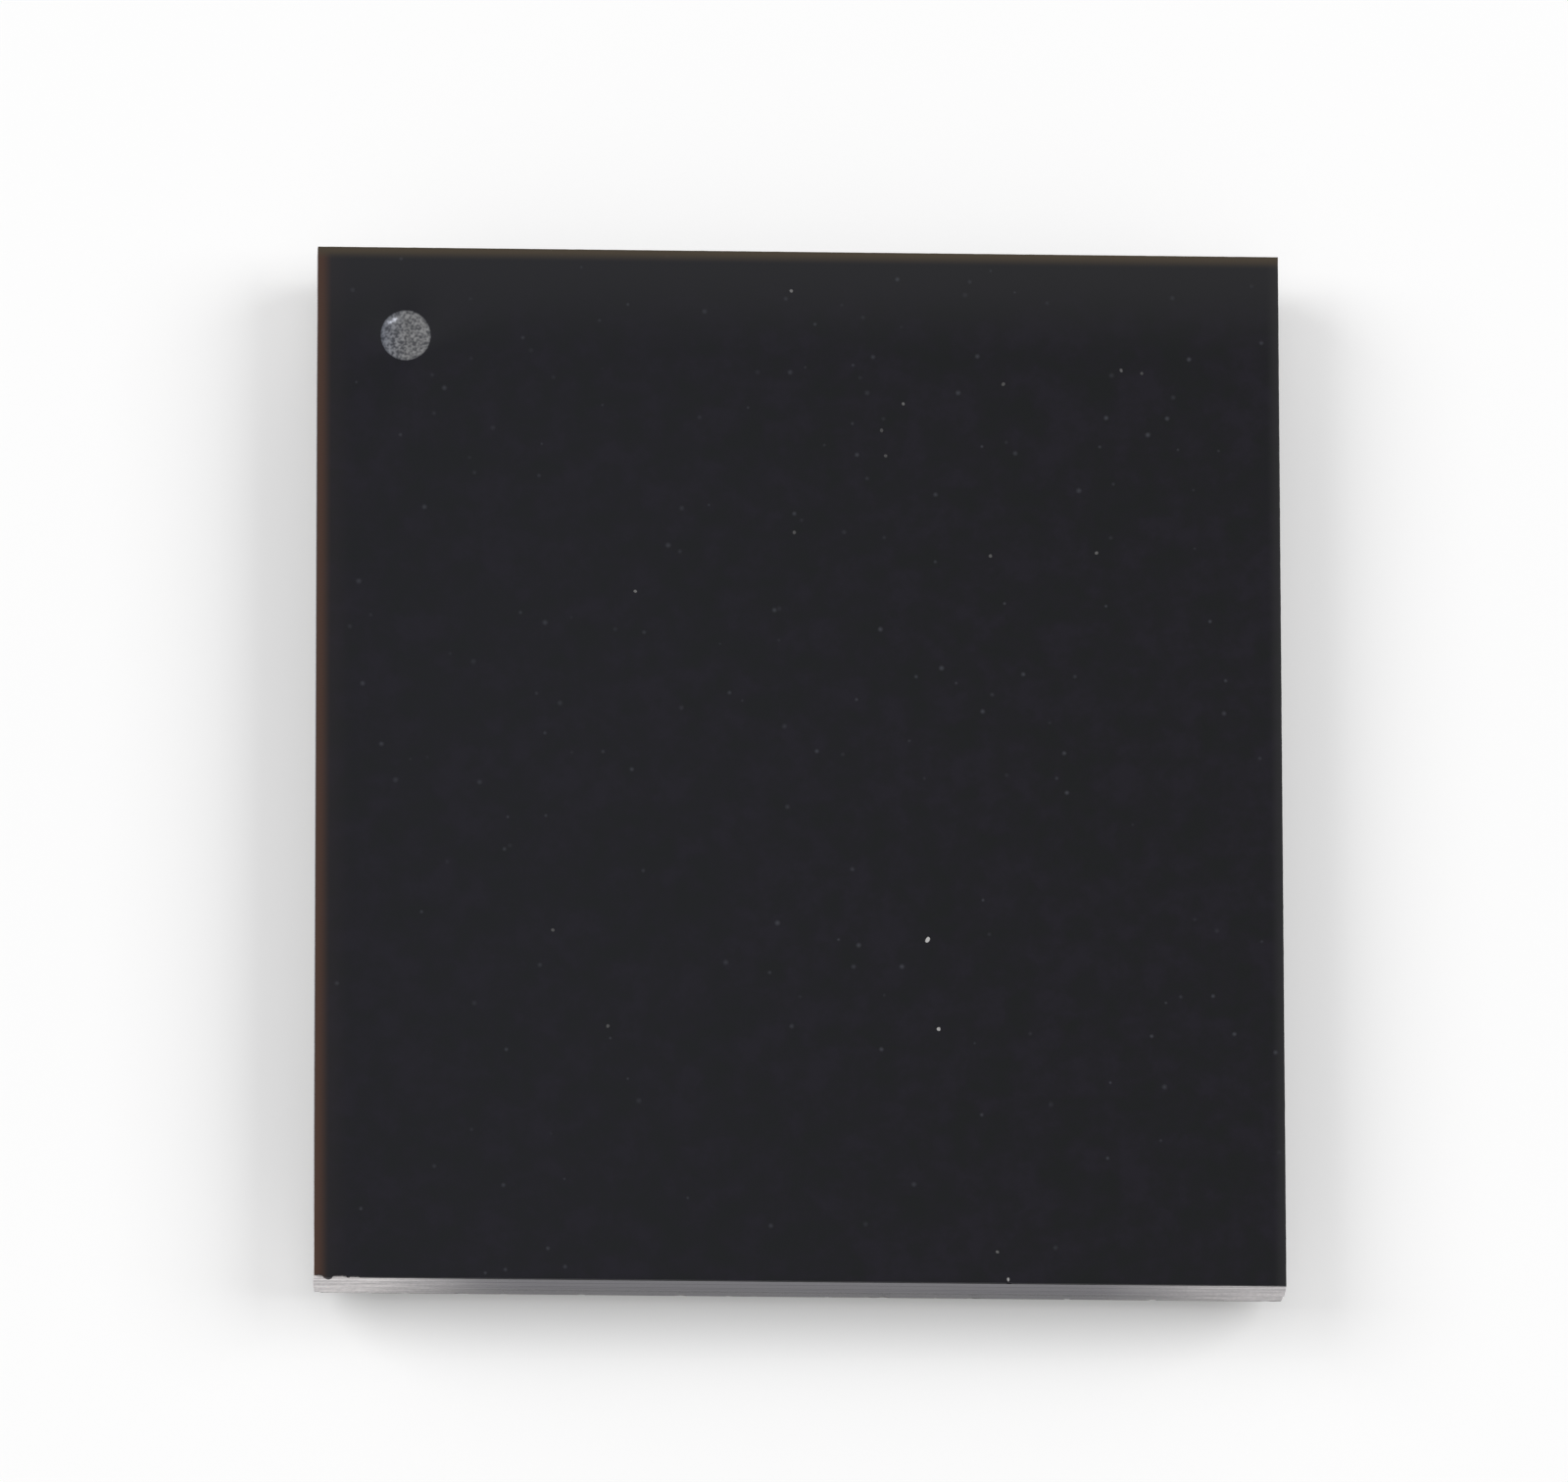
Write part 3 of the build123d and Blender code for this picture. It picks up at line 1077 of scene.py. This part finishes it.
for axis, edge, reach, share, tone in edge_tones:
    rim = add_node(
        tree, "ShaderNodeMapRange",
        {
            "Value": axes[axis],
            "From Min": edge + edge_plateau * reach * mm, "From Max": edge + reach * mm,
            "To Min": share, "To Max": 0.0,
        },
        interpolation_type="SMOOTHSTEP",
    )
    edged = add_node(
        tree, "ShaderNodeMix", {0: rim, 6: edged.outputs[2], 7: linear(tone)}, data_type="RGBA",
    )
frost = add_node(tree, "ShaderNodeAttribute", attribute_name="laser_frost").outputs["Fac"]
marked = add_node(tree, "ShaderNodeMapRange", {"Value": frost, "From Max": 0.035})
foam = add_node(tree, "ShaderNodeValToRGB", {"Fac": frost})
foam.color_ramp.elements[0].color = linear("#444549")
foam.color_ramp.elements[1].color = linear("#e4e5ea")
middle = foam.color_ramp.elements.new(full_foam)
middle.color = linear("#8b8b8c")
cool_side = add_node(
    tree, "ShaderNodeMapRange",
    {
        "Value": axes["X"], "From Min": dot_x - dot_radius, "From Max": dot_x,
        "To Min": 0.8, "To Max": 0.0,
    },
)
cool_foam = add_node(
    tree, "ShaderNodeMix", {0: cool_side, 6: foam, 7: linear("#d3dcf2")},
    data_type="RGBA", blend_type="MULTIPLY",
)
shade = add_node(
    tree, "ShaderNodeMix", {0: marked, 6: edged.outputs[2], 7: cool_foam.outputs[2]},
    data_type="RGBA",
)
texture = add_node(
    tree, "ShaderNodeBump", {"Strength": 0.3, "Distance": pebble_depth, "Height": pebbles},
)
surface = add_node(
    tree, "ShaderNodeBsdfPrincipled",
    {
        "Base Color": shade.outputs[2], "IOR": 1.5, "Specular IOR Level": 0.25,
        "Roughness": 0.6, "Normal": texture,
    },
)
add_node(tree, "ShaderNodeOutputMaterial", {"Surface": surface})
coating.data.materials.append(epoxy)
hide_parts("backside_coating")
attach(coating, "root")

# Coarse filler grains: a few silica grains lie near the film's face, each flattened by the
# laminating roller and sunk in the film. Three are rubbed bare, and the film dulls the rest.
grain_rise = 1.5 * micron
unit_radius = 0.5 * micron
dent_size = 0.4 * micron
coarse_grains = (  # place (mm), width and length (thousandths), turn (degrees), how bare
    (0.924, -1.327, 29, 47, -28, 0.85), (1.000, -2.000, 26, 30, 0, 0.66),
    (-0.052, 3.597, 24, 28, 40, 0.26), (-1.189, 1.290, 22, 26, 75, 0.24),
    (2.349, 3.016, 22, 30, 20, 0.16), (2.499, 2.995, 22, 26, 0, 0.10),
    (2.162, 1.619, 24, 28, -50, 0.17), (0.761, 2.742, 22, 25, 10, 0.20),
    (1.417, -3.669, 22, 26, 60, 0.18), (1.490, 2.900, 24, 30, -35, 0.12),
    (0.603, 2.537, 24, 30, 0, 0.10), (0.631, 2.343, 26, 26, 30, 0.11),
    (1.391, 1.588, 24, 28, 15, 0.14), (-0.034, 1.751, 24, 30, 5, 0.12),
    (-1.785, -1.282, 24, 26, 45, 0.12), (-1.388, -2.002, 24, 28, -15, 0.12),
    (1.494, -3.874, 18, 30, 0, 0.55),
)
grain_points, grain_faces, grain_bareness = [], [], []
for x, y, grain_width, grain_length, turn, bare in coarse_grains:
    ball = bmesh.new()
    bmesh.ops.create_icosphere(ball, subdivisions=2, radius=unit_radius)
    start = len(grain_points)
    spin = math.radians(turn)
    for vertex in ball.verts:
        dent = 0.8 + 0.4 * lumps(*(vertex.co + Vector((x * mm, y * mm, 0))), dent_size)
        across = vertex.co.x * grain_width * dent
        along = vertex.co.y * grain_length * dent
        grain_points.append((
            x * mm + across * math.cos(spin) - along * math.sin(spin),
            y * mm + across * math.sin(spin) + along * math.cos(spin),
            film_top.z + vertex.co.z / unit_radius * grain_rise,
        ))
        grain_bareness.append(bare)
    grain_faces += [tuple(start + vertex.index for vertex in face.verts) for face in ball.faces]
    ball.free()
filler_grains = new_piece("filler_grains", grain_points, grain_faces, math.radians(60))
bare_attribute = filler_grains.data.attributes.new("bareness", "FLOAT", "POINT")
bare_attribute.data.foreach_set("value", grain_bareness)

# Fused silica: clear glass that looks pale grey where it is ground bare, and nearly as dark as
# the film where the film still covers it.
scuff_size = 6 * micron
silica, tree = new_material("bare_fused_silica")
place = add_node(tree, "ShaderNodeTexCoord").outputs["Object"]
scuffs = add_node(
    tree, "ShaderNodeTexNoise", {"Vector": place, "Scale": 1 / scuff_size, "Detail": 2},
)
ground = add_node(
    tree, "ShaderNodeMix", {0: scuffs, 6: linear("#a8a8aa"), 7: linear("#e6e4e0")},
    data_type="RGBA",
)
uncovered = add_node(tree, "ShaderNodeAttribute", attribute_name="bareness").outputs["Fac"]
shade = add_node(
    tree, "ShaderNodeMix", {0: uncovered, 6: linear("#121217"), 7: ground.outputs[2]},
    data_type="RGBA",
)
surface = add_node(
    tree, "ShaderNodeBsdfPrincipled",
    {"Base Color": shade.outputs[2], "IOR": 1.46, "Specular IOR Level": 0.25, "Roughness": 0.6},
)
add_node(tree, "ShaderNodeOutputMaterial", {"Surface": surface})
filler_grains.data.materials.append(silica)
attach(filler_grains, "root")
